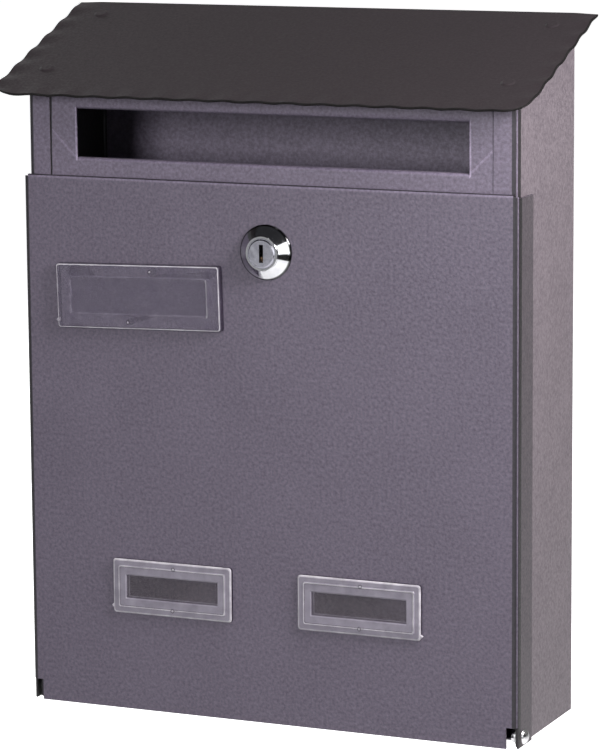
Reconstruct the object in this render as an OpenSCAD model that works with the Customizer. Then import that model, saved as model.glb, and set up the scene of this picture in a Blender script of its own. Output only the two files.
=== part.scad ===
// Wall mounted mailbox with a sloping roof, a letter slot and a drop-down locking door.
// Frame: X to the right, Y towards the wall, Z up; the front faces -Y and the wall is at Y = 0.
// The origin is the middle of the four wall holes, on the back face of the case.
// Heights named below are measured up from the foot of the case unless they say otherwise.

/* [Case] */
// Width of the case over its side walls
case_w = 217; // [170:1:320]
// Depth of the case from the wall to its front face
case_d = 68.5; // [56:0.5:110]
// Width of the narrow returns either side of the front opening
return_w = 10; // [8:0.5:14]
// Thickness of all the sheet steel
sheet_t = 0.8; // [0.6:0.1:1]
// Outside radius of the bends in the case and the door
bend_r = 2; // [1.6:0.1:3]
// Height of the folded edges of the floor
floor_lip = 8; // [6:0.5:12]
// Height and width of the corner reliefs at the foot of the front returns
foot_relief = 9; // [7:0.5:12]
// Width of the tabs that carry the roof
roof_tab_w = 12; // [10:0.5:15]

/* [Wall holes] */
// Height of the middle of the wall holes above the foot
wall_hole_mid = 140; // [110:1:180]
// Spacing of the wall holes across the case
wall_hole_dx = 150; // [60:1:160]
// Spacing of the wall holes up the case
wall_hole_dz = 150; // [100:1:200]
// Diameter of a wall hole
wall_hole_d = 6; // [4:0.5:8]

/* [Letter slot] */
// Sheet between the top of the door and the letter slot
slot_rise = 7.4; // [5:0.1:15]
// Width of the letter slot
slot_w = 174.5; // [120:0.5:180]
// Height of the letter slot
slot_h = 20.1; // [12:0.1:35]
// Sideways place of the letter slot
slot_shift = 1.2; // [-2:0.1:2]
// Sheet between the letter slot and the roof
slot_head = 13; // [9:0.5:25]
// Outside radius of the rolled edge above the slot
slot_top_r = 2.4; // [1.8:0.1:3]
// Outside radius of the folded edge below the slot and of the strike
slot_sill_r = 1.6; // [1.4:0.1:2]
// Straight run of the slot's folded edges behind their bends
slot_edge_run = 2; // [1:0.5:4]
// How far the slot panel laps down behind the door
panel_lap = 10; // [8:0.5:14]
// Height of the strike lip that the cam catches
strike_h = 6; // [5:0.5:9]
// Seam between the slot panel and the right return
seam_right = 0.3; // [0.2:0.1:1]
// Seam between the slot panel and the left return, at its foot
seam_left = 0.8; // [0.2:0.1:1]
// Extra width of the left seam at the top
seam_taper = 0.8; // [0.1:0.1:1.5]
// Width of the joggled edges behind the returns
joggle_w = 7; // [5:0.5:8]

/* [Roof] */
// Slope of the roof
roof_pitch = 20.5; // [12:0.5:28]
// Overhang of the roof at each side
roof_side = 9.5; // [6:0.5:20]
// Overhang of the roof in front of the case
roof_front = 16.8; // [10:0.2:35]
// Radius of the roof's front corners
roof_corner = 12; // [8:0.5:20]
// Depth of the roof's rear fold inside the back
roof_fold = 12; // [8:1:20]
// Diameter of a roof rivet's shank
roof_rivet_d = 3.2; // [2.4:0.2:4]

/* [Door] */
// Height of the door
door_h = 225.5; // [190:0.5:300]
// Gap between each door flange and the case
door_side_gap = 0.7; // [0.4:0.1:1]
// Gap between the door sheet and the front of the case
door_front_gap = 1.8; // [1.7:0.1:2.5]
// Depth of the door's side flanges from its face
flange_d = 17.3; // [14:0.1:25]
// Drop of the flanges below the top of the door
flange_drop = 1.5; // [1:0.1:3]
// Height of the folded-over top edge
hem_h = 8; // [5:0.5:9]
// Space inside the folded-over edge
hem_gap = 0.2; // [0.1:0.05:0.3]
// Width of the notches at the bottom corners
notch_w = 4.7; // [4:0.1:8]
// Height of the notches at the bottom corners
notch_h = 8.8; // [7:0.1:12]

/* [Hinge] */
// Height of the hinge line above the foot
hinge_z = 3.6; // [3.6:0.1:5]
// Distance of the hinge line behind the door's face
hinge_y = 8.4; // [8:0.1:9]
// Diameter of a hinge rivet's shank
hinge_d = 4; // [3:0.1:4.4]
// Clearance round the shank in the door flange
hinge_clear = 0.05; // [0.02:0.01:0.1]
// Diameter of the rivet's domed head
hinge_head_d = 6.4; // [5.6:0.1:6.8]
// Height of the rivet's domed head
hinge_head_h = 1.9; // [1.4:0.1:2.4]
// Play between the head and the flange
hinge_play = 0.1; // [0.05:0.05:0.2]
// Thickness of the washer inside the wall
hinge_washer_t = 0.8; // [0.5:0.1:1.2]

/* [Lock] */
// Sideways place of the lock
lock_x = 1; // [-20:0.5:20]
// Height of the lock's centre below the top of the door
lock_drop = 27.8; // [27:0.1:40]
// Diameter of the bezel
bezel_d = 22.8; // [21:0.1:26]
// Height of the bezel in front of the door
bezel_h = 5; // [3:0.1:7]
// Diameter of the ring round the plug
ring_d = 14.4; // [14.4:0.1:16]
// Diameter of the threaded barrel
barrel_d = 18.8; // [18:0.1:19.5]
// Distance across the barrel's flats
barrel_flats = 16; // [15.5:0.1:17]
// Length of the barrel behind the door's face
barrel_l = 16.5; // [15:0.5:22]
// Clearance between the barrel and its hole in the door
barrel_clear = 0.2; // [0.1:0.05:0.4]
// Pitch of the barrel's thread ridges
thread_pitch = 1; // [0.8:0.1:1.5]
// Diameter of the plug
plug_d = 11.5; // [11:0.1:11.8]
// Diameter of the plug's face
plug_face_d = 12.6; // [12.2:0.1:13]
// Running clearance between the plug and the housing
plug_clear = 0.06; // [0.03:0.01:0.1]
// Width of the keyway
keyway_w = 1.8; // [1.2:0.1:2]
// Height of the keyway
keyway_h = 7.4; // [6:0.1:8]
// Number of wafers in the plug
wafer_count = 5; // [3:1:6]
// Across flats of the lock nut
nut_af = 23; // [22:0.5:24]
// Thickness of the lock nut
nut_t = 3.5; // [2.5:0.5:4]
// Distance from the plug's axis to the cam's tip
cam_reach = 27; // [26.5:0.5:34]
// Width of the cam
cam_w = 12; // [10:0.5:14]
// Thickness of the cam
cam_t = 2; // [1.5:0.1:2.5]
// Gap between the cam and the strike lip
cam_clear = 0.8; // [0.5:0.1:1.5]
// Diameter of the cam screw's thread
cam_screw_d = 4; // [3:0.5:4]

/* [Windows] */
// Width of the name window
name_w = 75; // [50:0.5:90]
// Height of the name window
name_h = 27.2; // [20:0.1:32]
// Sideways place of the name window's middle
name_x = -56.3; // [-60:0.1:-50]
// Height of the name window's middle below the top of the door
name_drop = 49; // [40:0.5:80]
// Tilt of the name window
name_tilt = 1.6; // [0:0.1:3]
// Height of the name window in front of the door
name_t = 3.2; // [2.4:0.1:5]
// Width of the margin round the name field
name_margin = 6.4; // [4:0.1:8]
// Width of a viewing window
view_w = 54.6; // [45:0.1:70]
// Height of a viewing window
view_h = 23.2; // [20:0.1:30]
// Thickness of a viewing window in front of the door
view_t = 2.2; // [1.5:0.1:4]
// Width of the cut-out behind a viewing window
view_cut_w = 41.6; // [30:0.1:45]
// Height of the cut-out behind a viewing window
view_cut_h = 9.4; // [8:0.1:12]
// Height of the viewing windows' middle above the foot
view_z = 53.3; // [40:0.1:90]
// Sideways places of the viewing windows' middles
view_left_x = -43; // [-50:0.1:-36]
view_right_x = 41.6; // [36:0.1:50]
// Diameter of the pegs on the windows
peg_d = 3; // [2:0.1:4]
// Clearance round the pegs in the door
peg_clear = 0.2; // [0.1:0.05:0.3]
// Outside diameter of the push-on clips
clip_d = 8; // [6:0.5:9]

/* [Hidden] */
$fn = 48;

paint = [0.42, 0.40, 0.45];
roof_paint = [0.25, 0.23, 0.24];
bright_steel = [0.82, 0.83, 0.85];
zinc = [0.62, 0.63, 0.65];
clear_plastic = [0.82, 0.84, 0.88];

// The door, worked out from the case it wraps
door_w = case_w + 2 * (door_side_gap + sheet_t);
door_face = case_d + door_front_gap + sheet_t;
door_inner = door_face - sheet_t;
hinge_axis_y = -door_face + hinge_y;

// The slot and the slope above it
slot_z = door_h + slot_rise;
slot_top_z = slot_z + slot_h;
case_front_h = slot_top_z + slot_head;
case_back_h = case_front_h + case_d * tan(roof_pitch);
opening_w = case_w - 2 * return_w;

// The roof in its own sloping frame: across, down the slope, and up from its underside
roof_w = case_w + 2 * roof_side;
roof_len = (case_d + roof_front) / cos(roof_pitch);
roof_rivet_x = case_w / 2 - roof_tab_w / 2;
roof_rivet_back = 12;
roof_rivet_front = (case_d - roof_tab_w / 2) / cos(roof_pitch);
rivet_tail = 1.5;
rivet_head_h = 0.5;

// The lock, along its axis from the door's face
lock_z = door_h - lock_drop;
stop_washer_t = 0.8;
cam_washer_t = 0.8;
screw_head_h = 2.4;
cam_front = barrel_l + stop_washer_t;
plug_face_t = 2;
drive_af = 7;
strike_y = -door_face + cam_front - cam_clear;
wafer_t = 1;
wafer_pitch = 2.1;
wafer_first = 3;
wafer_w = 6;
wafer_l = 2 * sqrt(pow(plug_d / 2, 2) - pow(wafer_w / 2, 2)) - 0.2;
wafer_play = 0.1;
spring_d = 1.4;
spring_wire = 0.3;
spring_coils = 5;
spring_l = 2 * spring_coils * spring_wire;
spring_room = spring_d + 0.2;
spring_x = wafer_w / 2 + spring_room / 2;
spring_z = wafer_t / 2;

// Fixing pegs of the name window, from its middle
name_pegs = [[-4.8, -name_h / 2 + 3], [6, name_h / 2 - 3]];
view_pegs = [[0.9, view_h / 2 - 2.6], [0.4, -view_h / 2 + 2.8]];
view_places = [view_left_x, view_right_x];
name_z = door_h - name_drop;
clip_t = 0.5;
peg_reach = 1.6;
pane_t = 1;
far = 500;

// ---- helpers -------------------------------------------------------------

// Moves a piece drawn from the foot of the case into the frame of the wall holes.
module from_foot() {
    translate([0, 0, -wall_hole_mid]) children();
}

// Section of a folded sheet: flat runs joined by quarter bends to the left.
// The outside of the bends is the line that the runs are measured along.
module folded(runs, outer_r, t = sheet_t, i = 0) {
    if (runs[i] > 0) square([runs[i], t]);
    if (i < len(runs) - 1) {
        translate([runs[i], outer_r]) difference() {
            intersection() {
                circle(outer_r);
                translate([0, -outer_r]) square(outer_r);
            }
            circle(outer_r - t);
        }
        translate([runs[i] + outer_r, outer_r]) rotate(90) folded(runs, outer_r, t, i + 1);
    }
}

// Stands a section drawn in depth and height along the width of the object.
module along_width(w, x = 0) {
    translate([x - w / 2, 0, 0]) rotate([90, 0, 90]) linear_extrude(w) children();
}

// Sloping frame of the roof: Z is square to the roof and 0 on its underside.
module on_slope() {
    from_foot() translate([0, 0, case_back_h]) rotate([roof_pitch, 0, 0]) children();
}

// Everything above the underside of the roof, to trim the walls to the slope.
module above_roof() {
    on_slope() translate([-far, -far, 0]) cube(2 * far);
}

// Frame of the lock: Z runs out of the door from its face, along the plug's axis.
module on_lock() {
    from_foot() translate([lock_x, -door_face, lock_z]) rotate([90, 0, 0]) children();
}

// Frame on the door's face at a height and place, Z out of the door.
module on_door(x, z, tilt = 0) {
    from_foot() translate([x, -door_face, z]) rotate([90, 0, 0]) rotate(tilt) children();
}

// Block centred in X and Y that stands on a given height.
module block(w, h, t, z = 0) {
    translate([-w / 2, -h / 2, z]) cube([w, h, t]);
}

// ---- case ----------------------------------------------------------------

module wall_holes() {
    for (x = [-wall_hole_dx / 2, wall_hole_dx / 2], z = [-wall_hole_dz / 2, wall_hole_dz / 2])
        translate([x, 1, z]) rotate([90, 0, 0]) cylinder(d = wall_hole_d, h = sheet_t + 2);
}

module hinge_holes(d) {
    from_foot() translate([-far / 2, hinge_axis_y, hinge_z]) rotate([0, 90, 0]) cylinder(d = d, h = far);
}

module roof_rivet_places() {
    for (x = [-roof_rivet_x, roof_rivet_x], y = [-roof_rivet_front, -roof_rivet_back])
        translate([x, y, 0]) children();
}

module roof_rivet_holes() {
    on_slope() roof_rivet_places() translate([0, 0, -5]) cylinder(d = roof_rivet_d, h = 10);
}

module roof_tabs() {
    tab_front = case_d / cos(roof_pitch) - sheet_t * 3;
    tab_back = 4;
    on_slope() for (side = [-1, 1])
        translate([side > 0 ? case_w / 2 - roof_tab_w : -case_w / 2, -tab_front, -sheet_t])
            cube([roof_tab_w, tab_front - tab_back, sheet_t]);
}

module case_shell() {
    color(paint) difference() {
        union() {
            difference() {
                from_foot() translate([case_w / 2 - return_w, -case_d]) linear_extrude(case_back_h + 10)
                    folded([return_w - bend_r, case_d - 2 * bend_r, case_w - 2 * bend_r,
                            case_d - 2 * bend_r, return_w - bend_r], bend_r);
                above_roof();
            }
            roof_tabs();
        }
        for (side = [-1, 1])
            from_foot() translate([side * (case_w / 2 - return_w / 2) - return_w / 2 - 1, -case_d - 1, -1])
                cube([return_w + 2, bend_r + 1, foot_relief + 1]);
        wall_holes();
        hinge_holes(hinge_d);
        roof_rivet_holes();
    }
}

module floor_panel() {
    inner_w = case_w - 2 * sheet_t;
    inner_d = case_d - 2 * sheet_t;
    rivet_room = hinge_head_d + 4;
    color(paint) from_foot() {
        along_width(opening_w - 1) translate([-case_d + sheet_t, floor_lip]) rotate(-90)
            folded([floor_lip - bend_r, inner_d - 2 * bend_r, floor_lip - bend_r], bend_r);
        translate([0, hinge_axis_y + rivet_room / 2, 0]) rotate([90, 0, 180])
            linear_extrude(-hinge_axis_y - rivet_room / 2 - floor_lip)
            translate([-inner_w / 2, floor_lip]) rotate(-90)
            folded([floor_lip - bend_r, inner_w - 2 * bend_r, floor_lip - bend_r], bend_r);
    }
}

module slot_panel() {
    right_edge = opening_w / 2 - seam_right;
    left_foot = -opening_w / 2 + seam_left;
    left_top = left_foot + seam_taper;
    foot_z = door_h - panel_lap;
    sill_start = slot_z - slot_sill_r;
    head_start = slot_top_z + slot_top_r;
    shelf_d = strike_y + case_d;
    slot_left = slot_shift - slot_w / 2;
    slot_right = slot_shift + slot_w / 2;
    color(paint) difference() {
        from_foot() {
            // sheet round the slot
            translate([0, -case_d + sheet_t, 0]) rotate([90, 0, 0]) linear_extrude(sheet_t) difference() {
                polygon([[left_foot, foot_z + slot_sill_r], [right_edge, foot_z + slot_sill_r],
                         [right_edge, case_back_h], [left_top, case_back_h], [left_foot, slot_z]]);
                translate([slot_left, sill_start]) square([slot_w, head_start - sill_start]);
            }
            // joggled edges behind the returns
            for (x = [right_edge - 2, -opening_w / 2 - joggle_w])
                translate([x, -case_d + sheet_t, foot_z + slot_sill_r + 2])
                    cube([joggle_w + (x > 0 ? 2 : 3.5), sheet_t, case_back_h - foot_z]);
            // rolled edge above the slot and folded edge below it
            along_width(slot_w, slot_shift) translate([-case_d, head_start + 1]) rotate(-90)
                folded([1, slot_edge_run], slot_top_r);
            along_width(slot_w, slot_shift)
                translate([-case_d + slot_sill_r + slot_edge_run, slot_z]) rotate(180)
                folded([slot_edge_run, 1], slot_sill_r);
            // strike: a shelf folded back below the slot, with a lip for the cam
            along_width(right_edge - left_foot, (right_edge + left_foot) / 2)
                translate([-case_d, foot_z + slot_sill_r + 1]) rotate(-90)
                folded([1, shelf_d - 2 * slot_sill_r, strike_h - slot_sill_r], slot_sill_r);
        }
        above_roof();
    }
}

// ---- roof ----------------------------------------------------------------

// Flat outline of the roof sheet, from the wall down the slope, with round front corners.
module roof_outline() {
    translate([-roof_w / 2, -roof_len + roof_corner]) square([roof_w, roof_len - roof_corner]);
    translate([-roof_w / 2 + roof_corner, -roof_len]) square([roof_w - 2 * roof_corner, roof_len]);
    for (side = [-1, 1])
        translate([side * (roof_w / 2 - roof_corner), -roof_len + roof_corner]) circle(roof_corner);
}

module roof() {
    fold_w = 2 * (roof_rivet_x - roof_tab_w);
    color(roof_paint) {
        difference() {
            on_slope() linear_extrude(sheet_t) roof_outline();
            roof_rivet_holes();
        }
        from_foot() translate([-fold_w / 2, -2 * sheet_t, case_back_h - roof_fold])
            cube([fold_w, sheet_t, roof_fold]);
    }
}

module roof_rivets() {
    color(roof_paint) on_slope() roof_rivet_places() {
        translate([0, 0, -sheet_t - rivet_tail]) cylinder(d = roof_rivet_d, h = 2 * sheet_t + rivet_tail);
        translate([0, 0, sheet_t]) cylinder(d1 = 2 * roof_rivet_d, d2 = 1.4 * roof_rivet_d, h = rivet_head_h);
        translate([0, 0, -sheet_t - rivet_tail]) cylinder(d = 1.5 * roof_rivet_d, h = rivet_tail);
    }
}

// ---- hinge ---------------------------------------------------------------

// Frame of one hinge rivet: Z runs out of the side wall, 0 on the wall's inner face.
module on_hinge(side) {
    from_foot() translate([side * (case_w / 2 - sheet_t), hinge_axis_y, hinge_z]) rotate([0, side * 90, 0]) children();
}

module hinge_rivet(side) {
    head_z = 2 * sheet_t + door_side_gap + hinge_play;
    dome_r = (pow(hinge_head_d / 2, 2) + pow(hinge_head_h, 2)) / (2 * hinge_head_h);
    color(bright_steel) on_hinge(side) {
        translate([0, 0, -hinge_washer_t - rivet_tail]) cylinder(d = hinge_d, h = head_z + hinge_washer_t + rivet_tail);
        translate([0, 0, -hinge_washer_t - rivet_tail]) cylinder(d = 1.4 * hinge_d, h = rivet_tail);
        translate([0, 0, head_z]) intersection() {
            translate([0, 0, hinge_head_h - dome_r]) sphere(dome_r);
            cylinder(d = hinge_head_d, h = hinge_head_h);
        }
    }
}

module hinge_rivet_left() { hinge_rivet(-1); }
module hinge_rivet_right() { hinge_rivet(1); }

module hinge_washers() {
    washer_d = 2 * hinge_z - 0.3;
    color(zinc) for (side = [-1, 1]) on_hinge(side) translate([0, 0, -hinge_washer_t]) difference() {
        cylinder(d = washer_d, h = hinge_washer_t);
        translate([0, 0, -1]) cylinder(d = hinge_d, h = hinge_washer_t + 2);
    }
}

// ---- door ----------------------------------------------------------------

module door_panel() {
    hem_r = sheet_t + hem_gap / 2;
    color(paint) difference() {
        from_foot() union() {
            difference() {
                linear_extrude(door_h - hem_r) translate([-door_w / 2, -door_face + flange_d]) rotate(-90)
                    folded([flange_d - bend_r, door_w - 2 * bend_r, flange_d - bend_r], bend_r);
                // flanges stop below the top of the door
                translate([-far / 2, -door_face + bend_r, door_h - flange_drop]) cube([far, flange_d, 10]);
            }
            // top edge folded over to the inside
            along_width(door_w - 2 * bend_r) translate([-door_face + 2 * hem_r, door_h - hem_h]) rotate(90)
                folded([hem_h - hem_r, 0, 2], hem_r);
        }
        // bottom corner notches, through the face and its bends
        for (side = [-1, 1])
            from_foot() translate([side * (door_w / 2 - notch_w / 2) - notch_w / 2, -door_face - 1, -1])
                translate([side > 0 ? 0 : -1, 0, 0]) cube([notch_w + 1, bend_r + 1, notch_h + 1]);
        hinge_holes(hinge_d + 2 * hinge_clear);
        on_lock() translate([0, 0, -3]) barrel_core(barrel_clear, 6);
        for (x = view_places) on_door(x, view_z) {
            block(view_cut_w, view_cut_h, 6, -3);
            peg_holes(view_pegs);
        }
        on_door(name_x, name_z, name_tilt) peg_holes(name_pegs);
    }
}

module peg_holes(pegs) {
    for (p = pegs) translate([p[0], p[1], -3]) cylinder(d = peg_d + 2 * peg_clear, h = 6);
}

// Round bar with two flats, the form of the lock's barrel and of its hole.
module barrel_core(grow, h) {
    intersection() {
        cylinder(d = barrel_d + 2 * grow, h = h);
        block(barrel_flats + 2 * grow, barrel_d + 2 * grow + 1, h);
    }
}

// ---- lock ----------------------------------------------------------------

module lock_housing() {
    rim_t = 1.1;
    thread_depth = 0.35;
    thread_start = sheet_t + 0.8;
    ridge_count = floor((barrel_l - thread_start - 1) / thread_pitch);
    lug_in = plug_d / 2 + 1.2;
    gap_from = -17;
    gap_to = 90 - gap_from;
    gap_fan = [for (k = [0 : 4]) gap_from + (gap_to - gap_from) * k / 4];
    color(bright_steel) on_lock() difference() {
        union() {
            // bezel: thin rim, cone and the ring round the plug
            rotate_extrude() polygon([[0, 0], [bezel_d / 2, 0], [bezel_d / 2, rim_t - 0.3],
                                      [bezel_d / 2 - 0.3, rim_t], [ring_d / 2, bezel_h - 0.7],
                                      [ring_d / 2, bezel_h - 0.2], [ring_d / 2 - 0.2, bezel_h], [0, bezel_h]]);
            intersection() {
                translate([0, 0, -barrel_l]) rotate_extrude() {
                    square([barrel_d / 2 - thread_depth, barrel_l]);
                    translate([0, barrel_l - thread_start]) square([barrel_d / 2, thread_start]);
                    for (i = [0 : ridge_count - 1]) translate([barrel_d / 2 - thread_depth, 1 + i * thread_pitch])
                        polygon([[-0.1, 0], [0, 0], [thread_depth, thread_pitch * 0.4],
                                 [thread_depth, thread_pitch * 0.5], [0, thread_pitch * 0.9], [-0.1, thread_pitch * 0.9]]);
                }
                block(barrel_flats, barrel_d + 1, barrel_l, -barrel_l);
            }
            // ring behind the barrel with a gap that the stop washer's tongue swings in
            translate([0, 0, -barrel_l - stop_washer_t + 0.2]) difference() {
                intersection() {
                    cylinder(d = barrel_d - 2 * thread_depth, h = stop_washer_t);
                    block(barrel_flats, barrel_d, stop_washer_t);
                }
                translate([0, 0, -1]) cylinder(r = lug_in, h = stop_washer_t + 0.8);
                translate([0, 0, -1]) linear_extrude(stop_washer_t + 0.8)
                    polygon([[0, 0], for (a = gap_fan) 30 * [cos(a), sin(a)]]);
            }
        }
        // bore for the plug, wider in front for its face
        translate([0, 0, -barrel_l - 2]) cylinder(d = plug_d + 2 * plug_clear, h = barrel_l + bezel_h + 3);
        translate([0, 0, bezel_h - plug_face_t]) cylinder(d = plug_face_d + 2 * plug_clear, h = plug_face_t + 1);
    }
}

module lock_washer() {
    washer_d = barrel_d + 6;
    teeth = 12;
    color(zinc) on_lock() translate([0, 0, -sheet_t - 0.8]) difference() {
        cylinder(d = washer_d, h = 0.8);
        translate([0, 0, -1]) cylinder(d = barrel_d + 0.2, h = 3);
        for (i = [0 : teeth - 1]) rotate(i * 360 / teeth) translate([washer_d / 2 - 1, -0.4, -1]) cube([2, 0.8, 3]);
    }
}

module lock_nut() {
    color(zinc) on_lock() translate([0, 0, -sheet_t - 0.8 - nut_t]) difference() {
        intersection() {
            rotate(30) cylinder(d = nut_af / cos(30), h = nut_t, $fn = 6);
            cylinder(d1 = nut_af + 1.2, d2 = nut_af + 4, h = nut_t);
        }
        translate([0, 0, -1]) cylinder(d = barrel_d + 0.04, h = nut_t + 2);
    }
}

module wafer_places() {
    for (i = [0 : wafer_count - 1]) translate([0, 0, -wafer_first - i * wafer_pitch]) children();
}

module lock_plug() {
    drive_l = stop_washer_t + cam_t - 0.2;
    color(bright_steel) on_lock() difference() {
        union() {
            translate([0, 0, -barrel_l]) cylinder(d = plug_d, h = barrel_l + bezel_h - 0.5);
            translate([0, 0, bezel_h - plug_face_t + 0.05]) cylinder(d = plug_face_d, h = plug_face_t - 0.05);
            translate([0, 0, bezel_h]) cylinder(d1 = plug_face_d - 0.8, d2 = plug_face_d - 1.8, h = 0.4);
            block(drive_af, drive_af, drive_l + 1, -barrel_l - drive_l);
        }
        block(keyway_w, keyway_h, far, -barrel_l + 3);
        translate([0, 0, -barrel_l - drive_l - 1]) cylinder(d = cam_screw_d, h = 8);
        wafer_places() block(wafer_w + 2 * wafer_play, plug_d + 2, wafer_t + 2 * wafer_play, -wafer_play);
        wafer_places() translate([spring_x, -spring_l / 2, spring_z - spring_room / 2])
            block(spring_room, spring_l + 0.5, spring_room);
    }
}

module lock_wafers() {
    color([0.78, 0.65, 0.35]) on_lock() wafer_places() difference() {
        block(wafer_w, wafer_l, wafer_t);
        block(keyway_w + 0.8, keyway_h - 2.4, wafer_t + 2, -1);
    }
}

module wafer_springs() {
    color(zinc) on_lock() wafer_places() translate([spring_x, -spring_l, spring_z])
        rotate([-90, 0, 0]) rotate_extrude() {
            for (i = [0 : spring_coils])
                translate([spring_d / 2 - spring_wire / 2, i * spring_wire * 2]) circle(d = spring_wire);
            translate([spring_d / 2 - spring_wire * 0.7, 0]) square([spring_wire * 0.4, spring_l]);
        }
}

module stop_washer() {
    tongue_w = 3;
    color(zinc) on_lock() translate([0, 0, -barrel_l - stop_washer_t]) difference() {
        union() {
            cylinder(r = plug_d / 2 + 1, h = stop_washer_t);
            translate([0, -tongue_w / 2, 0]) cube([barrel_d / 2 - 1, tongue_w, stop_washer_t]);
        }
        block(drive_af + 0.1, drive_af + 0.1, stop_washer_t + 2, -1);
    }
}

module lock_cam() {
    color(zinc) on_lock() translate([0, 0, -cam_front - cam_t]) difference() {
        union() {
            cylinder(d = cam_w + 3, h = cam_t);
            translate([0, -cam_w / 2, 0]) cube([cam_reach - 3, cam_w, cam_t]);
            for (side = [-1, 1]) translate([cam_reach - 3, side * (cam_w / 2 - 3), 0]) cylinder(r = 3, h = cam_t);
            translate([cam_reach - 3, -cam_w / 2 + 3, 0]) cube([3, cam_w - 6, cam_t]);
        }
        block(drive_af + 0.1, drive_af + 0.1, cam_t + 2, -1);
    }
}

module cam_washer() {
    color(zinc) on_lock() translate([0, 0, -cam_front - cam_t - cam_washer_t]) difference() {
        cylinder(d = drive_af * sqrt(2) + 1, h = cam_washer_t);
        translate([0, 0, -1]) cylinder(d = cam_screw_d + 0.3, h = 3);
    }
}

module cam_screw() {
    shank_l = cam_washer_t + cam_t + 3;
    color(zinc) on_lock() translate([0, 0, -cam_front - cam_t - cam_washer_t]) {
        cylinder(d = cam_screw_d, h = shank_l);
        difference() {
            translate([0, 0, -screw_head_h]) {
                cylinder(d = 2 * cam_screw_d - 0.4, h = screw_head_h);
            }
            for (a = [0, 90]) rotate(a) block(0.9, 4.4, 1.2 + 1, -screw_head_h - 1);
        }
    }
}

// ---- windows -------------------------------------------------------------

module pegs(places) {
    for (p = places) translate([p[0], p[1], -sheet_t - peg_reach]) cylinder(d = peg_d, h = sheet_t + peg_reach + 0.2);
}

module clips(places) {
    for (p = places) translate([p[0], p[1], -sheet_t - clip_t]) difference() {
        cylinder(d = clip_d, h = clip_t);
        translate([0, 0, -1]) cylinder(d = peg_d, h = clip_t + 2);
        for (a = [0, 120, 240]) rotate(a) translate([0, -0.3, -1]) cube([clip_d / 2 - 1, 0.6, clip_t + 2]);
    }
}

module name_window() {
    field_w = name_w - 2 * name_margin;
    field_h = name_h - 2 * name_margin;
    step = 1.6;
    color(clear_plastic) on_door(name_x, name_z, name_tilt) difference() {
        union() {
            block(name_w, name_h, name_t * 0.55);
            block(name_w - 2 * step, name_h - 2 * step, name_t);
            pegs(name_pegs);
        }
        // shallow field in front, card pocket behind
        block(field_w, field_h, 2, name_t - 0.6);
        block(field_w + 2, field_h + 1, 1 + pane_t, -1);
    }
}

module name_window_clips() {
    color(zinc) on_door(name_x, name_z, name_tilt) clips(name_pegs);
}

module view_window(x) {
    step = 1.4;
    boss_clear = 0.3;
    color(clear_plastic) on_door(x, view_z) difference() {
        union() {
            block(view_w, view_h, view_t * 0.6);
            block(view_w - 2 * step, view_h - 2 * step, view_t);
            block(view_cut_w - 2 * boss_clear, view_cut_h - 2 * boss_clear, sheet_t + 0.1, -sheet_t);
            pegs(view_pegs);
        }
        block(view_cut_w, view_cut_h, 2, view_t - 0.7);
    }
}

module view_window_left() { view_window(view_left_x); }
module view_window_right() { view_window(view_right_x); }

module view_window_clips() {
    color(zinc) for (x = view_places) on_door(x, view_z) clips(view_pegs);
}

case_shell();
floor_panel();
slot_panel();
roof();
roof_rivets();
hinge_rivet_left();
hinge_rivet_right();
hinge_washers();
door_panel();
lock_housing();
lock_washer();
lock_nut();
lock_plug();
lock_wafers();
wafer_springs();
stop_washer();
lock_cam();
cam_washer();
cam_screw();
name_window();
name_window_clips();
view_window_left();
view_window_right();
view_window_clips();
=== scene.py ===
import math

import bpy
from mathutils import Matrix, Vector


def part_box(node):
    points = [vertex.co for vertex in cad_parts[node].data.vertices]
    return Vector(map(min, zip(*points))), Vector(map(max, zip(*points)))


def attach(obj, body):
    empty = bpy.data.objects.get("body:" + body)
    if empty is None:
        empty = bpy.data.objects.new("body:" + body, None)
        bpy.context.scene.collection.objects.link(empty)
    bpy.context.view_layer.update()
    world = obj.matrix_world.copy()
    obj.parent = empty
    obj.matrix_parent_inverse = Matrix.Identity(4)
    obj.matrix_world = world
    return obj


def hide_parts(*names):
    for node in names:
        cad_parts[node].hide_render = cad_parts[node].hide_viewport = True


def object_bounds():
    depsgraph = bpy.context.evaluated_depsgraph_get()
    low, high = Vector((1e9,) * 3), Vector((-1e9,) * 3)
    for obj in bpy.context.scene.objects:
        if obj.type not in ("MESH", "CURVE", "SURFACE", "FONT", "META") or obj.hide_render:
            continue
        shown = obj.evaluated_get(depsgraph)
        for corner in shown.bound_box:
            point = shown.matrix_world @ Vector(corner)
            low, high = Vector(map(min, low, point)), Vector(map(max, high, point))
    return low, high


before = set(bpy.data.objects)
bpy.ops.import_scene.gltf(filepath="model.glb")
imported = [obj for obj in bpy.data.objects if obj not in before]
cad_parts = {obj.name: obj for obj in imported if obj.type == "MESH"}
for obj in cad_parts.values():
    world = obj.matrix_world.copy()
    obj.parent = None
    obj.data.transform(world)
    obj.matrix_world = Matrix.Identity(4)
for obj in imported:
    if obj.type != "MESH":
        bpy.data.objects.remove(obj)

cad_low, cad_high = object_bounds()

# ---- Camera --------------------------------------------------------------
# A long lens a metre and a half away, to the right of the door and a little above the lock.
# It is level but for a very slight roll, and everything is in focus.

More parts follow.
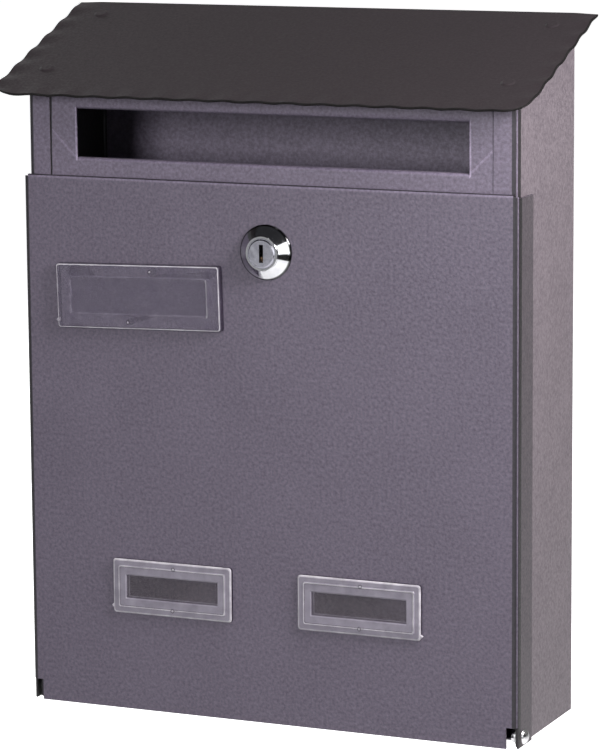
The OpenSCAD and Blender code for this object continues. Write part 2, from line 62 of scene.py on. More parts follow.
cam_azimuth = math.radians(23.82)
cam_elevation = math.radians(9.72)
cam_roll = math.radians(0.428)
cam_place = (0.60842, -1.41414, 0.25941)
lens_mm = 175.5
sensor_mm = 36
view_reach = 60
cam_back = Vector((math.sin(cam_azimuth) * math.cos(cam_elevation),
                   -math.cos(cam_azimuth) * math.cos(cam_elevation), math.sin(cam_elevation)))
cam_right = Vector((math.cos(cam_azimuth), math.sin(cam_azimuth), 0))
cam_up = cam_back.cross(cam_right)
roll_right = cam_right * math.cos(cam_roll) - cam_up * math.sin(cam_roll)
roll_up = cam_right * math.sin(cam_roll) + cam_up * math.cos(cam_roll)
camera = bpy.data.objects.new("camera", bpy.data.cameras.new("camera"))
bpy.context.scene.collection.objects.link(camera)
camera.matrix_world = Matrix.Translation(cam_place) @ Matrix(
    (roll_right, roll_up, cam_back)).transposed().to_4x4()
camera.data.sensor_fit = "VERTICAL"
camera.data.sensor_height = sensor_mm
camera.data.lens = lens_mm
camera.data.clip_end = view_reach
bpy.context.scene.camera = camera
bpy.context.scene.view_settings.view_transform = "Standard"

# ---- Floor and light -----------------------------------------------------
# A wide white floor well below the box, so that the open door swings clear of it. Soft lights stand
# in front, close at the right and like a tall window at the right, with fill from above and behind.
# A black card lies on the floor at the right, and only the chrome of the lock mirrors it.

floor_drop = 0.16
floor_half = 14
floor_z = cad_low.z - floor_drop
card_z = floor_z + 0.002
card_corners = ((0.38, -0.68), (1.16, -1.59), (1.76, -0.79), (0.69, -0.28))
seen_glow, lit_glow = 0.95, 0.22
wall_glow, room_glow = 1.05, 0.55


def principled(name):
    """A new material, its node tree and its shader."""
    material = bpy.data.materials.new(name)
    material.use_nodes = True
    return material, material.node_tree, material.node_tree.nodes["Principled BSDF"]


def calc(tree, operation, *terms):
    """One arithmetic node. A term is a socket or a number."""
    node = tree.nodes.new("ShaderNodeMath")
    node.operation = operation
    for k, term in enumerate(terms):
        if isinstance(term, (int, float)):
            node.inputs[k].default_value = term
        else:
            tree.links.new(term, node.inputs[k])
    return node.outputs[0]


def split(tree, source):
    """The X, Y and Z of a place or a direction."""
    parts = tree.nodes.new("ShaderNodeSeparateXYZ")
    tree.links.new(source, parts.inputs[0])
    return parts.outputs["X"], parts.outputs["Y"], parts.outputs["Z"]


def spots(tree, place, scale, detail=2.0, rough=0.5):
    noise = tree.nodes.new("ShaderNodeTexNoise")
    noise.inputs["Scale"].default_value = scale
    noise.inputs["Detail"].default_value = detail
    noise.inputs["Roughness"].default_value = rough
    tree.links.new(place, noise.inputs["Vector"])
    return noise.outputs["Fac"]


def shade_between(tree, amount, low, high, start=0.3, end=0.7):
    ramp = tree.nodes.new("ShaderNodeValToRGB")
    ramp.color_ramp.elements[0].position = start
    ramp.color_ramp.elements[1].position = end
    ramp.color_ramp.elements[0].color = (*low, 1)
    ramp.color_ramp.elements[1].color = (*high, 1)
    tree.links.new(amount, ramp.inputs["Fac"])
    return ramp.outputs["Color"]


def card_paint(name, scale, low, high):
    """Dull board with a faintly uneven tone."""
    material, tree, shader = principled(name)
    place = tree.nodes.new("ShaderNodeTexCoord").outputs["Generated"]
    tone = shade_between(tree, spots(tree, place, scale), low, high, 0.0, 1.0)
    tree.links.new(tone, shader.inputs["Base Color"])
    shader.inputs["Roughness"].default_value = 0.9
    return material, tree, shader


def staged_sheet(name, corners, height, material):
    mesh = bpy.data.meshes.new(name)
    mesh.from_pydata([(x, y, height) for x, y in corners], [], [(0, 1, 2, 3)])
    mesh.materials.append(material)
    sheet = bpy.data.objects.new(name, mesh)
    bpy.context.scene.collection.objects.link(sheet)
    sheet.visible_diffuse = False
    return sheet


floor_paint, floor_tree, floor_shader = card_paint(
    "floor_white", 3, (0.86, 0.86, 0.87), (0.90, 0.90, 0.91))
floor_shader.inputs["Emission Color"].default_value = (1, 1, 1, 1)
straight_on = floor_tree.nodes.new("ShaderNodeLightPath").outputs["Is Camera Ray"]
floor_glow = calc(floor_tree, "MULTIPLY_ADD", straight_on, seen_glow - lit_glow, lit_glow)
floor_tree.links.new(floor_glow, floor_shader.inputs["Emission Strength"])
floor_corners = [(x * floor_half, y * floor_half) for x, y in ((-1, -1), (1, -1), (1, 1), (-1, 1))]
staged_sheet("floor", floor_corners, floor_z, floor_paint)

black_card = card_paint("black_card", 5, (0.004, 0.004, 0.004), (0.010, 0.010, 0.010))[0]
floor_flag = staged_sheet("floor_flag", card_corners, card_z, black_card)
floor_flag.visible_camera = floor_flag.visible_shadow = False

world = bpy.data.worlds.new("studio")
bpy.context.scene.world = world
world.use_nodes = True
room = world.node_tree
room.nodes.clear()
way_y = split(room, room.nodes.new("ShaderNodeTexCoord").outputs["Generated"])[1]
room_light = room.nodes.new("ShaderNodeBackground")
room_light.inputs["Strength"].default_value = room_glow
room_shade = shade_between(room, calc(room, "MULTIPLY_ADD", way_y, 0.5, 0.5),
                           (0.05, 0.05, 0.055), (0.32, 0.32, 0.31), 0.45, 0.75)
room.links.new(room_shade, room_light.inputs["Color"])
white_wall = room.nodes.new("ShaderNodeBackground")
white_wall.inputs["Color"].default_value = (1, 1, 1, 1)
white_wall.inputs["Strength"].default_value = wall_glow
room_mix = room.nodes.new("ShaderNodeMixShader")
room_out = room.nodes.new("ShaderNodeOutputWorld")
room.links.new(room.nodes.new("ShaderNodeLightPath").outputs["Is Camera Ray"], room_mix.inputs[0])
room.links.new(room_light.outputs[0], room_mix.inputs[1])
room.links.new(white_wall.outputs[0], room_mix.inputs[2])
room.links.new(room_mix.outputs[0], room_out.inputs["Surface"])


def soft_light(name, place, aim, size_x, size_y, watts, colour=(1, 1, 1)):
    data = bpy.data.lights.new(name, "AREA")
    data.shape = "RECTANGLE"
    data.size, data.size_y = size_x, size_y
    data.energy = watts
    data.color = colour
    lamp = bpy.data.objects.new(name, data)
    lamp.location = place
    lamp.rotation_euler = (Vector(aim) - Vector(place)).to_track_quat("-Z", "Y").to_euler()
    bpy.context.scene.collection.objects.link(lamp)


soft_light("front_softbox", (-0.10, -2.05, 0.42), (0, -0.06, 0.05), 0.52, 0.60, watts=20)
soft_light("near_softbox", (0.50, -0.22, 0.35), (0.05, -0.06, 0.02), 0.22, 0.22, watts=5,
           colour=(1, 0.97, 0.96))
soft_light("window_light", (0.695, -0.646, 0.178), (0, -0.07, 0.055), 0.25, 0.59, watts=0.85)
soft_light("top_fill", (0.3, 0.3, 1.9), (0, 0, 0), 1.6, 1.6, watts=9)
soft_light("back_fill", (-1.6, 1.1, 0.6), (0, 0, 0), 1.0, 1.0, watts=24)

# ---- Case shell ----------------------------------------------------------
# Back, sides and front returns: one sheet of 0.8 mm steel, bent round and powder coated.
# The coat has the fine pebbled skin of a hammered finish, with a painted warm light tint on the side
# walls and painted shade beside the front bends.

pebble_scale, skin_scale = 900, 1300
cloud_scale, cloud_depth = 34, 0.34
grain_scale, grain_depth = 760, 1.9
gloss_scale = 900
# Painted shade: these bands darken the coat on each side of an upright bend.
bend_shade = 0.13
front_bend_shade = ((0.0, 1), (0.40, 1), (0.62, bend_shade), (2.05, bend_shade), (2.40, 1))
side_bend_shade = ((0.0, 1), (1.05, 1), (1.35, bend_shade), (4.1, bend_shade), (4.6, 1))
bands_reach = 10.0


def object_place(tree):
    return tree.nodes.new("ShaderNodeTexCoord").outputs["Object"]


def number_between(tree, amount, low, high, start=0.3, end=0.7):
    spread = tree.nodes.new("ShaderNodeMapRange")
    spread.inputs["From Min"].default_value = start
    spread.inputs["From Max"].default_value = end
    spread.inputs["To Min"].default_value = low
    spread.inputs["To Max"].default_value = high
    tree.links.new(amount, spread.inputs["Value"])
    return spread.outputs["Result"]


def bands(tree, distance, stops):
    """Tone that changes with a distance in metres. A stop is (millimetres, tone)."""
    ramp = tree.nodes.new("ShaderNodeValToRGB")
    stretch = ramp.color_ramp
    for k, (at, tone) in enumerate(stops):
        stop = stretch.elements[k] if k < 2 else stretch.elements.new(at / bands_reach)
        stop.position = at / bands_reach
        stop.color = (tone, tone, tone, 1)
    tree.links.new(calc(tree, "MULTIPLY", distance, 1000 / bands_reach), ramp.inputs["Fac"])
    return ramp.outputs["Color"]


def shade_coat(tree, shade):
    """Multiplies the base colour that a material has so far by one more shade."""
    base = tree.nodes["Principled BSDF"].inputs["Base Color"]
    product = tree.nodes.new("ShaderNodeMix")
    product.data_type = "RGBA"
    product.blend_type = "MULTIPLY"
    product.inputs["Factor"].default_value = 1.0
    tree.links.new(base.links[0].from_socket, product.inputs["A"])
    tree.links.new(shade, product.inputs["B"])
    tree.links.new(product.outputs["Result"], base)


def bump_skin(tree, shader, height, distance):
    bump = tree.nodes.new("ShaderNodeBump")
    bump.inputs["Strength"].default_value = 1.0
    bump.inputs["Distance"].default_value = distance
    tree.links.new(height, bump.inputs["Height"])
    tree.links.new(bump.outputs["Normal"], shader.inputs["Normal"])


def hammered_paint(name, low, high, pebble=0.00005, gloss=(0.36, 0.52)):
    """Pebbled coat. Its pigment settles unevenly, so the tone changes from grain to grain."""
    material, tree, shader = principled(name)
    place = object_place(tree)
    pebbles = tree.nodes.new("ShaderNodeTexVoronoi")
    pebbles.feature = "SMOOTH_F1"
    pebbles.inputs["Scale"].default_value = pebble_scale
    pebbles.inputs["Smoothness"].default_value = 0.8
    tree.links.new(place, pebbles.inputs["Vector"])
    skin = calc(tree, "ADD", pebbles.outputs["Distance"], spots(tree, place, skin_scale, 3.0))
    bump_skin(tree, shader, skin, pebble)
    level = 0.5 - (cloud_depth + grain_depth) / 2
    cloud = calc(tree, "MULTIPLY_ADD", spots(tree, place, cloud_scale, 4.0), cloud_depth, level)
    grain = spots(tree, place, grain_scale, 2.0, 0.6)
    settled = calc(tree, "MULTIPLY_ADD", grain, grain_depth, cloud)
    tree.links.new(shade_between(tree, settled, low, high, 0.15, 0.85), shader.inputs["Base Color"])
    tree.links.new(number_between(tree, spots(tree, place, gloss_scale), *gloss),
                   shader.inputs["Roughness"])
    return material


def paint_bend_shade(material, half_w, front_y, side_light_tint):
    """Painted shade in two bands on a folded sheet, one on each side of an upright bend.
    The side tint is a painted light tint on the side walls, set for each coat."""
    tree = material.node_tree
    facing_x = split(tree, tree.nodes.new("ShaderNodeTexCoord").outputs["Normal"])[0]
    sideways = calc(tree, "ABSOLUTE", facing_x)
    shade_coat(tree, shade_between(tree, sideways, (1, 1, 1), side_light_tint, 0.90, 0.98))
    x, y, z = split(tree, object_place(tree))
    from_side = calc(tree, "SUBTRACT", half_w, calc(tree, "ABSOLUTE", x))
    from_front = calc(tree, "SUBTRACT", y, front_y)
    shade_coat(tree, bands(tree, from_side, front_bend_shade))
    shade_coat(tree, bands(tree, from_front, side_bend_shade))


def refinish(node, material):
    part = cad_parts[node]
    part.data.materials.clear()
    part.data.materials.append(material)


case_low, case_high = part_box("case_shell")
grey_coat = ((0.127, 0.105, 0.151), (0.215, 0.183, 0.251))
grey_paint = hammered_paint("hammered_grey", *grey_coat)
# The case's side walls get a warmer painted light tint.
paint_bend_shade(grey_paint, case_high.x, case_low.y, side_light_tint=(1.0, 1.0, 0.83))
refinish("case_shell", grey_paint)

# ---- Floor panel ---------------------------------------------------------
# Steel tray folded up on four sides, which closes the foot of the case.
# It is spot welded inside the walls, and painted with them.

refinish("floor_panel", grey_paint)

# ---- Slot panel ----------------------------------------------------------
# Steel sheet with the letter slot, rolled in above it and folded in below, set between the returns.
# The coat carries a painted highlight at both ends of the slot and along its sill, and painted
# shade on the joggled edges in the seams behind the returns.

slot_left, slot_right = -0.08605, 0.08845
slot_foot, slot_top = 0.0929, 0.1130
end_glint_over, end_glint_under = 0.0005, 0.001
edge_slack = 0.0002
seam_gap = 0.0035
out_of_reach = 1.0
# Painted shade in the seams, and painted highlight at the slot's ends and along its sill.
seam_shade_bands = ((0.0, 1), (0.4, 1), (0.7, 0.08))
end_highlight_bands = ((0.0, 2.1), (0.45, 2.1), (0.8, 1.0))
sill_highlight_bands = ((0.0, 1.35), (1.0, 1.35), (1.6, 1.0))


def paint_slot_light_and_shade(material):
    tree = material.node_tree
    x, y, z = split(tree, object_place(tree))
    off_middle = calc(tree, "ABSOLUTE", calc(tree, "SUBTRACT", x, (slot_left + slot_right) / 2))
    from_end = calc(tree, "SUBTRACT", off_middle, (slot_right - slot_left) / 2)
    above = calc(tree, "MAXIMUM", calc(tree, "SUBTRACT", z, slot_top + end_glint_over), 0.0)
    below = calc(tree, "MAXIMUM", calc(tree, "SUBTRACT", slot_foot - end_glint_under, z), 0.0)
    ends = calc(tree, "ADD", calc(tree, "ADD", from_end, above), below)
    inside = calc(tree, "LESS_THAN", from_end, -edge_slack)
    ends = calc(tree, "ADD", ends, calc(tree, "MULTIPLY", inside, out_of_reach))
    sill = calc(tree, "ADD", calc(tree, "SUBTRACT", slot_foot + edge_slack, z),
                calc(tree, "MAXIMUM", from_end, 0.0))
    over_sill = calc(tree, "LESS_THAN", sill, 0.0)
    sill = calc(tree, "ADD", sill, calc(tree, "MULTIPLY", over_sill, out_of_reach))
    in_seam = calc(tree, "GREATER_THAN", calc(tree, "ABSOLUTE", x), slot_right + seam_gap)
    sunk = calc(tree, "MULTIPLY", calc(tree, "SUBTRACT", y, case_low.y), in_seam)
    shade_coat(tree, bands(tree, sunk, seam_shade_bands))
    shade_coat(tree, bands(tree, ends, end_highlight_bands))
    shade_coat(tree, bands(tree, sill, sill_highlight_bands))


slot_paint = hammered_paint("hammered_slot", *grey_coat)
paint_slot_light_and_shade(slot_paint)
refinish("slot_panel", slot_paint)

# ---- Roof ----------------------------------------------------------------
# One thin steel sheet on the sloping tabs, with round front corners. The press ripples its side and
# front rims, which stiffens them. Dull dark paint with a finer skin than the body's, with painted
# near-black shade on the outer cells round the cut edge. A fold at the back goes down inside the
# case.

roof_pitch = math.radians(20.5)
roof_t = 0.0008
roof_low, roof_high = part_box("roof")
roof_half = roof_high.x
roof_len = -roof_low.y / math.cos(roof_pitch)
roof_back_z = roof_high.z - roof_t * math.cos(roof_pitch)
roof_corner = 0.012
ripple_pitch = 0.0145
ripple_start = 0.004
ripple_high = 0.00042
front_share = 0.55
ripple_reach = 0.011
roof_cell = 0.0013
roof_rim_w = 0.0006
fold_half = 0.0905
fold_y = -0.0008
fold_top, fold_foot = 0.0002, 0.012
roof_skin = 0.00003


def roof_point(x, s, z):
    """From across, distance down the slope and height off it, to the object's frame."""
    return (x, -s * math.cos(roof_pitch) - z * math.sin(roof_pitch),
            roof_back_z - s * math.sin(roof_pitch) + z * math.cos(roof_pitch))


def rim_fade(distance):
    share = max(0.0, 1 - distance / ripple_reach)
    return share * share * (3 - 2 * share)


def ripple(x, s):
    """Height of the pressed ripples at a place on the flat sheet."""
    side = rim_fade(roof_half - abs(x))
    front = rim_fade(roof_len - s)
    side_wave = math.sin(2 * math.pi * (s - ripple_start) / ripple_pitch)
    front_wave = math.sin(2 * math.pi * x / ripple_pitch)
    total = side + front
    if total == 0:
        return 0.0
    strength = min(1.0, total)
    return ripple_high * strength * (side * side_wave + front_share * front * front_wave) / total


def near_ends(k, count, length):
    """Place of line k of an even grid whose first and last cells are only as wide as the rim."""
    even = length * k / count
    return roof_rim_w if k == 1 else length - roof_rim_w if k == count - 1 else even


def new_piece(name, verts, faces, materials, smooth):
    mesh = bpy.data.meshes.new(name)
    mesh.from_pydata(verts, [], faces)
    mesh.validate()
    mesh.update()
    if smooth:
        mesh.shade_smooth()
    for material in materials:
        mesh.materials.append(material)
    piece = bpy.data.objects.new(name, mesh)
    bpy.context.scene.collection.objects.link(piece)
    return piece


across = round(2 * roof_half / roof_cell)
down = round(roof_len / roof_cell)
corner_x = roof_half - roof_corner
corner_s = roof_len - roof_corner
roof_verts = []
for j in range(down + 1):
    for i in range(across + 1):
        x = near_ends(i, across, 2 * roof_half) - roof_half
        s = near_ends(j, down, roof_len)
        u = max(0.0, abs(x) - corner_x) / roof_corner
        v = max(0.0, s - corner_s) / roof_corner
        if u > 0 and v > 0:
            x = math.copysign(corner_x + roof_corner * u * math.sqrt(1 - v * v / 2), x)
            s = corner_s + roof_corner * v * math.sqrt(1 - u * u / 2)
        roof_verts.append(roof_point(x, s, ripple(x, s)))
row = across + 1
roof_faces = [(j * row + i, (j + 1) * row + i, (j + 1) * row + i + 1, j * row + i + 1)
              for j in range(down) for i in range(across)]
fold_verts = [(x, fold_y, roof_back_z - drop)
              for drop in (fold_top, fold_foot) for x in (-fold_half, fold_half)]

roof_paint = hammered_paint("roof_dark", (0.0150, 0.0101, 0.0130), (0.0214, 0.0147, 0.0184),
                            roof_skin, (0.62, 0.78))
roof_rim_shade = hammered_paint("roof_rim_shade", (0.0035, 0.0030, 0.0032), (0.0080, 0.0065, 0.0072),
                          roof_skin, (0.66, 0.80))
for paint, shine in ((roof_paint, 0.35), (roof_rim_shade, 0.2)):
    paint.node_tree.nodes["Principled BSDF"].inputs["Specular IOR Level"].default_value = shine
roof_sheet = new_piece("roof_sheet", roof_verts, roof_faces, (roof_paint, roof_rim_shade), smooth=True)
# The outer cells of the sheet take the painted near-black rim shade.
for face in roof_sheet.data.polygons:
    j, i = divmod(face.index, across)
    face.material_index = int(j in (0, down - 1) or i in (0, across - 1))
roof_fold = new_piece("roof_fold", fold_verts, [(0, 2, 3, 1)], (roof_paint,), smooth=True)
for sheet in (roof_sheet, roof_fold):
    thick = sheet.modifiers.new("sheet", "SOLIDIFY")
    thick.thickness = roof_t
    thick.offset = 1
    thick.use_even_offset = True
    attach(sheet, "case")
    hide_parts("roof")

# ---- Roof rivets ---------------------------------------------------------
# Four steel rivets through the roof and its tabs, their flat heads painted with the roof.
# Their closed ends show only from inside.

refinish("roof_rivets", roof_paint)

# ---- Hinge rivets --------------------------------------------------------
# Two bright plated steel rivets with domed heads, through the door's flanges and the side walls.
# The door turns on them. Each is closed over a washer inside the wall.

metal_tone_scale, metal_gloss_scale, scratch_scale = 260, 700, 2400


def bare_metal(name, low, high, gloss, scratches=0.000004):
    material, tree, shader = principled(name)
    place = object_place(tree)
    shader.inputs["Metallic"].default_value = 1
    tree.links.new(shade_between(tree, spots(tree, place, metal_tone_scale, 4.0), low, high),
                   shader.inputs["Base Color"])
    tree.links.new(number_between(tree, spots(tree, place, metal_gloss_scale, 4.0), *gloss),
                   shader.inputs["Roughness"])
    bump_skin(tree, shader, spots(tree, place, scratch_scale, 4.0), scratches)
    return material


bright_steel = bare_metal("bright_steel", (0.70, 0.70, 0.72), (0.86, 0.86, 0.88), (0.14, 0.26))
zinc_steel = bare_metal("zinc_plate", (0.42, 0.43, 0.44), (0.60, 0.61, 0.62), (0.30, 0.46))
for rivet in ("hinge_rivet_left", "hinge_rivet_right"):
    refinish(rivet, bright_steel)
refinish("hinge_washers", zinc_steel)

# ---- Door ----------------------------------------------------------------
# Steel front sheet with side flanges, its top edge folded over and its lower corners notched.
# The same hammered coat as the case in a darker tone, with painted shade darkening the flanges and
# painted shade and highlight along the folded top edge.

door_low, door_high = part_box("door_panel")
# Painted shade along the top of the hem, with a painted highlight just below it.
hem_shade_and_highlight = ((0.0, 0.22), (0.30, 0.22), (0.50, 1.55), (1.0, 1.55), (1.5, 1.0))


def paint_hem_shade_and_highlight(material, top_z):
    """The folded top edge: painted shade along its crest and a painted highlight just below it."""
    tree = material.node_tree
    z = split(tree, object_place(tree))[2]
    shade_coat(tree, bands(tree, calc(tree, "SUBTRACT", top_z, z), hem_shade_and_highlight))


door_paint = hammered_paint("hammered_door", (0.097, 0.080, 0.1155), (0.164, 0.140, 0.192))
# Painted shade: the side tint makes the door's flanges darker.
paint_bend_shade(door_paint, door_high.x, door_low.y, side_light_tint=(0.55, 0.55, 0.47))
paint_hem_shade_and_highlight(door_paint, door_high.z)
refinish("door_panel", door_paint)

# ---- Lock ----------------------------------------------------------------
# Chromed zinc housing with a cone-shaped bezel, and the plug with its keyway and brass wafers.
# Behind the door a washer and nut hold it, and a screw holds the cam to the plug.

lock_low, lock_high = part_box("lock_housing")
lock_middle = (lock_low + lock_high) / 2
bezel_half = (lock_high.x - lock_low.x) / 2
# Painted shade round the foot of the bezel.
rim_shade_bands = ((0.0, 0.12), (0.40, 0.12), (0.75, 1.0))


def paint_rim_shade(material):
    """A thin line of painted shade round the foot of the bezel."""
    tree = material.node_tree
    x, y, z = split(tree, object_place(tree))
    off_x = calc(tree, "SUBTRACT", x, lock_middle.x)
    off_z = calc(tree, "SUBTRACT", z, lock_middle.z)
    squares = calc(tree, "ADD", calc(tree, "MULTIPLY", off_x, off_x),
                   calc(tree, "MULTIPLY", off_z, off_z))
    from_rim = calc(tree, "SUBTRACT", bezel_half, calc(tree, "SQRT", squares))
    shade_coat(tree, bands(tree, from_rim, rim_shade_bands))


lock_chrome = bare_metal("lock_chrome", (0.66, 0.67, 0.70), (0.80, 0.81, 0.83), (0.05, 0.11),
                         scratches=0.000002)
paint_rim_shade(lock_chrome)
plug_chrome = bare_metal("plug_chrome", (0.34, 0.34, 0.40), (0.54, 0.54, 0.60), (0.16, 0.28),
                         scratches=0.000006)
# The wafers' brass is painted dark, as painted shade deep in the keyway.
wafer_brass = bare_metal("wafer_brass", (0.30, 0.18, 0.09), (0.42, 0.28, 0.14), (0.26, 0.40))
refinish("lock_housing", lock_chrome)
refinish("lock_plug", plug_chrome)
refinish("lock_wafers", wafer_brass)
for part in ("lock_washer", "lock_nut", "wafer_springs", "stop_washer",
             "lock_cam", "cam_washer", "cam_screw"):
    refinish(part, zinc_steel)

# ---- Name window ---------------------------------------------------------
# Clear moulded cover over a card pocket, held by two pegs, and sitting a little crooked.
# Its rim carries a painted highlight, and its side walls and card field carry painted shade.

plastic_tone_scale, plastic_gloss_scale, plastic_clear_scale = 190, 500, 240
on_frame, on_highlight, on_wall, on_field, on_peg_shade, on_soft_highlight, on_lit_step = range(7)
corner_steps = 5
peg_sides = 20
peg_r, peg_tip_r, peg_taper, peg_root, peg_end = 1.5, 1.2, 0.3, 0.4, -2.4
sink_out, sink_r, sink_glint_r = 0.03, 0.95, 0.42
nub_size, nub_back, nub_in = 0.8, 0.5, 0.4


def clear_plastic(name, low, high, alpha, gloss=(0.08, 0.20)):
    material, tree, shader = principled(name)
    place = object_place(tree)
    tree.links.new(shade_between(tree, spots(tree, place, plastic_tone_scale, 3.0), low, high),
                   shader.inputs["Base Color"])
    tree.links.new(number_between(tree, spots(tree, place, plastic_gloss_scale, 3.0), *gloss),
                   shader.inputs["Roughness"])
    tree.links.new(number_between(tree, spots(tree, place, plastic_clear_scale, 3.0), *alpha),
                   shader.inputs["Alpha"])
    return material


def rim_ring(half_w, half_h, out, radius):
    """Points round a rectangle with round corners, at a height out of the door."""
    ring = []
    for corner, (sx, sy) in enumerate(((1, 1), (-1, 1), (-1, -1), (1, -1))):
        for k in range(corner_steps + 1):
            turn = math.radians(90 * corner + 90 * k / corner_steps)
            ring.append((sx * (half_w - radius) + radius * math.cos(turn),
                         sy * (half_h - radius) + radius * math.sin(turn), out))
    return ring


def peg_circle(px, py, radius, out):
    turns = [2 * math.pi * k / peg_sides for k in range(peg_sides)]
    return [(px + radius * math.cos(turn), py + radius * math.sin(turn), out) for turn in turns]


def band_faces(first, count):
    """Faces between a loop of points and the loop that follows it in the list."""
    pairs = [(first + k, first + (k + 1) % count) for k in range(count)]
    return [(a, a + count, b + count, b) for a, b in pairs]


def moulded_cover(name, rings, finishes, centre, tilt, pegs, nub):
    """Closed shell through nested rings, given in mm from its front field to its back.
    A ring is (half width, half height, height out of the door, corner radius, finish of the
    band after it). The finish on_lit_step gives a step a painted highlight on its right side, which
    faces the window light, and a softer painted highlight on the rest. Each peg leaves a small sink
    mark on the front, drawn as a ring of painted shade round a painted glint.
    A nub is the cut stub of a moulding runner: (place across, place up, direction)."""
    points, faces, finish = [], [], []
    for half_w, half_h, out, radius, _ in rings:
        points += rim_ring(half_w, half_h, out, radius)
    count = len(points) // len(rings)
    for r, (half_w, _, _, _, band) in enumerate(rings[:-1]):
        for face in band_faces(r * count, count):
            faces.append(face)
            shining = min(points[face[0]][0], points[face[3]][0]) > half_w * 0.98
            finish.append(band if band != on_lit_step else on_highlight if shining else on_soft_highlight)
    faces.append(tuple(range(count)))
    faces.append(tuple(reversed(range(len(points) - count, len(points)))))
    finish += [on_field, rings[-1][4]]
    for px, py in pegs:
        base = len(points)
        for out, r in ((peg_root, peg_r), (peg_end + peg_taper, peg_r), (peg_end, peg_tip_r)):
            points += peg_circle(px, py, r, out)
        peg_faces = band_faces(base, peg_sides) + band_faces(base + peg_sides, peg_sides)
        peg_faces.append(tuple(range(base, base + peg_sides)))
        peg_faces.append(tuple(reversed(range(base + 2 * peg_sides, base + 3 * peg_sides))))
        faces += peg_faces
        finish += [on_peg_shade] * len(peg_faces)
    front = max(out for _, _, out, _, _ in rings)
    # Sink marks: a ring of painted shade round a painted glint.
    for px, py in pegs:
        base = len(points)
        points += peg_circle(px, py, sink_r, front + sink_out)
        points += peg_circle(px, py, sink_glint_r, front + sink_out)
        faces += band_faces(base, peg_sides) + [tuple(range(base + peg_sides, base + 2 * peg_sides))]
        finish += [on_peg_shade] * peg_sides + [on_highlight]
    # The nub takes the painted highlight too.
    base = len(points)
    nub_x, nub_y, nub_way = nub
    for out in (nub_back, rings[3][2] - nub_in):
        points += [(nub_x, nub_y - nub_size, out), (nub_x, nub_y + nub_size, out),
                   (nub_x + nub_size * nub_way, nub_y, out)]
    faces += [(base + 2, base + 1, base), (base + 3, base + 4, base + 5)]
    faces += [(base + k, base + (k + 1) % 3, base + 3 + (k + 1) % 3, base + 3 + k)
              for k in range(3)]
    finish += [on_highlight] * 5
    lean_c, lean_s = math.cos(math.radians(tilt)), math.sin(math.radians(tilt))
    verts = [(centre[0] + (x * lean_c - y * lean_s) / 1000, door_low.y - out / 1000,
              centre[1] + (x * lean_s + y * lean_c) / 1000) for x, y, out in points]
    cover = new_piece(name, verts, faces, finishes, smooth=False)
    for face, band in zip(cover.data.polygons, finish):
        face.material_index = band
    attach(cover, "door")
    return cover


def middle_of(node):
    low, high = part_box(node)
    return ((low.x + high.x) / 2, (low.z + high.z) / 2)


# The bright edge and soft edge plastics are painted highlights.
highlight_edge = clear_plastic("highlight_edge", (0.60, 0.56, 0.64), (0.92, 0.89, 0.95), (0.62, 0.88))
# Painted shade on the cover's side walls.
shaded_wall = clear_plastic("shaded_wall", (0.020, 0.014, 0.030), (0.050, 0.038, 0.064),
                            (0.70, 0.85))
name_frame = clear_plastic("name_frame", (0.30, 0.26, 0.38), (0.46, 0.42, 0.54), (0.20, 0.30))
# The name field is tinted darker as painted shade over the card pocket.
shaded_name_field = clear_plastic("shaded_name_field", (0.17, 0.15, 0.22), (0.24, 0.215, 0.29), (0.20, 0.30))
soft_highlight = clear_plastic("soft_highlight", (0.28, 0.25, 0.34), (0.46, 0.42, 0.52), (0.18, 0.34))
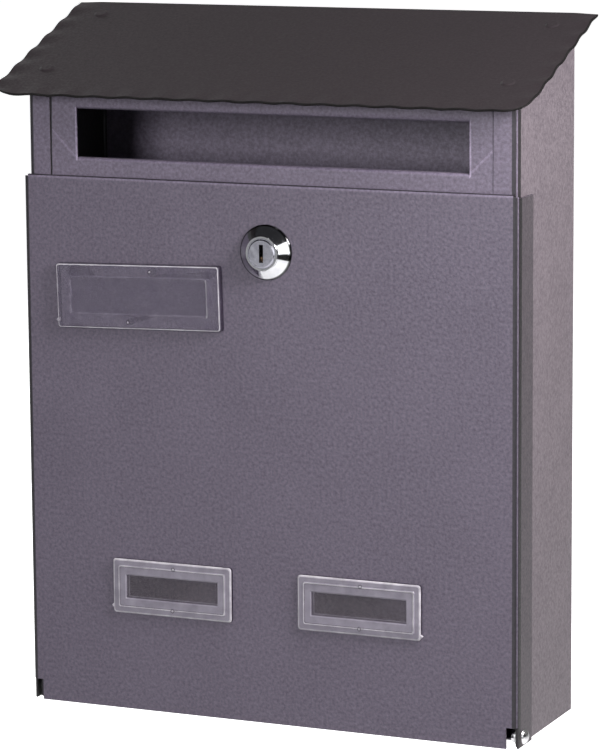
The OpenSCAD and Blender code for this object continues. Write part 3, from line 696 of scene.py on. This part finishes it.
# Painted shade for the pegs and for the rings of the sink marks.
peg_shade_plastic = clear_plastic("peg_shade_plastic", (0.030, 0.022, 0.040), (0.10, 0.08, 0.12), (0.40, 0.60))
name_tilt = 1.6
name_rings = [(31.0, 7.1, 2.5, 0.4, on_lit_step), (31.6, 7.7, 2.95, 0.5, on_lit_step),
              (31.8, 7.9, 3.2, 0.6, on_frame), (36.8, 12.9, 3.2, 0.8, on_highlight),
              (37.2, 13.3, 3.1, 1.0, on_soft_highlight), (37.5, 13.6, 2.75, 1.1, on_wall),
              (37.5, 13.6, 0.0, 1.1, on_wall), (36.9, 13.0, 0.0, 0.8, on_frame),
              (32.2, 8.0, 0.0, 0.6, on_frame), (32.0, 7.8, 1.0, 0.5, on_field)]
name_finishes = (name_frame, highlight_edge, shaded_wall, shaded_name_field, peg_shade_plastic, soft_highlight)
name_cover = moulded_cover("name_cover", name_rings, name_finishes, middle_of("name_window"),
                           name_tilt, pegs=((-4.8, -10.6), (6.0, 10.6)), nub=(-37.5, -10.2, -1))
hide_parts("name_window")

# ---- Viewing windows -----------------------------------------------------
# Two clear moulded covers with a ridge round the frame, each held by two pegs. A boss behind each
# fills its cut-out in the door, so the inside of the box shows dark through the middle.

view_frame = clear_plastic("view_frame", (0.47, 0.43, 0.53), (0.59, 0.55, 0.66), (0.48, 0.58))
view_field = clear_plastic("view_field", (0.29, 0.25, 0.31), (0.37, 0.33, 0.39), (0.14, 0.21))
view_finishes = (view_frame, highlight_edge, shaded_wall, view_field, peg_shade_plastic, soft_highlight)
view_pegs = ((0.9, 9.0), (0.4, -8.8))
view_nubs = {"left": (-27.3, -8.6, -1), "right": (27.3, -9.8, 1)}
view_rings = [(20.8, 4.7, 1.45, 0.4, on_soft_highlight), (21.0, 4.9, 1.75, 0.4, on_frame),
              (21.5, 5.4, 2.0, 0.5, on_frame), (23.9, 8.2, 2.0, 0.8, on_lit_step),
              (24.1, 8.4, 2.2, 0.8, on_highlight), (24.5, 8.8, 2.2, 0.8, on_frame),
              (24.7, 9.0, 1.8, 0.8, on_frame), (26.55, 10.85, 1.75, 1.0, on_highlight),
              (26.95, 11.25, 1.65, 1.2, on_highlight), (27.3, 11.6, 1.3, 1.3, on_wall),
              (27.3, 11.6, 0.0, 1.3, on_frame), (20.5, 4.4, 0.0, 0.4, on_field),
              (20.5, 4.4, -0.8, 0.4, on_field)]
for side, nub in view_nubs.items():
    view_cover = moulded_cover("view_cover_" + side, view_rings, view_finishes,
                               middle_of("view_window_" + side), 0, view_pegs, nub)
    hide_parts("view_window_" + side)

# ---- Window clips --------------------------------------------------------
# Sprung zinc plated steel discs, one on each peg of the three windows.
# They are pushed on from inside the door and grip the pegs with their torn edges.

for clips in ("name_window_clips", "view_window_clips"):
    refinish(clips, zinc_steel)
